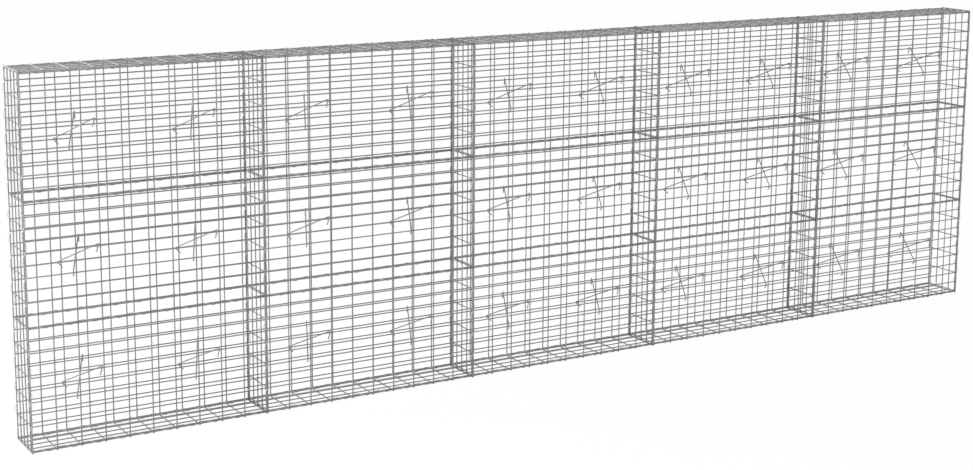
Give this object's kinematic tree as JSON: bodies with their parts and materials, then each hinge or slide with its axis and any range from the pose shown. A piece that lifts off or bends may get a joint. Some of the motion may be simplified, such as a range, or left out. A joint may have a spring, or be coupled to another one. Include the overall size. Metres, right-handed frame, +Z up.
{
  "type": "gabion wall",
  "caption": "Long, narrow, free-standing gabion wall of welded wire mesh in bays, empty, with base and cover panels, spiral-laced seams, dividers and hooked cross ties.",
  "frame": {"origin": "middle of the footprint, on the underside of the base panels' depth wires, at floor level", "axes": "+X along the wall to the right as seen from the front, +Y to the rear, +Z up"},
  "size_m": [5.018, 0.222, 1.5163],
  "materials": {
    "mesh_zinc": "satin galvanised",
    "spiral_zinc": "satin galvanised",
    "tie_zinc": "satin galvanised"
  },
  "bodies": {
    "root": {"base_mesh_1": "mesh_zinc", "base_mesh_2": "mesh_zinc", "base_mesh_3": "mesh_zinc", "base_mesh_4": "mesh_zinc", "base_mesh_5": "mesh_zinc", "cover_mesh_1": "mesh_zinc", "cover_mesh_2": "mesh_zinc", "cover_mesh_3": "mesh_zinc", "cover_mesh_4": "mesh_zinc", "cover_mesh_5": "mesh_zinc", "divider_1": "mesh_zinc", "divider_1_spirals": "spiral_zinc", "divider_2": "mesh_zinc", "divider_2_spirals": "spiral_zinc", "divider_3": "mesh_zinc", "divider_3_spirals": "spiral_zinc", "divider_4": "mesh_zinc", "divider_4_spirals": "spiral_zinc", "front_base_spirals": "spiral_zinc", "front_cover_spirals": "spiral_zinc", "front_mesh_1": "mesh_zinc", "front_mesh_2": "mesh_zinc", "front_mesh_3": "mesh_zinc", "front_mesh_4": "mesh_zinc", "front_mesh_5": "mesh_zinc", "front_seam_1_spirals": "spiral_zinc", "front_seam_2_spirals": "spiral_zinc", "left_end_mesh": "mesh_zinc", "left_end_spirals": "spiral_zinc", "rear_base_spirals": "spiral_zinc", "rear_cover_spirals": "spiral_zinc", "rear_mesh_1": "mesh_zinc", "rear_mesh_2": "mesh_zinc", "rear_mesh_3": "mesh_zinc", "rear_mesh_4": "mesh_zinc", "rear_mesh_5": "mesh_zinc", "rear_seam_1_spirals": "spiral_zinc", "rear_seam_2_spirals": "spiral_zinc", "right_end_mesh": "mesh_zinc", "right_end_spirals": "spiral_zinc", "ties_1": "tie_zinc", "ties_2": "tie_zinc", "ties_3": "tie_zinc", "ties_4": "tie_zinc", "ties_5": "tie_zinc"}
  },
  "joints": []
}
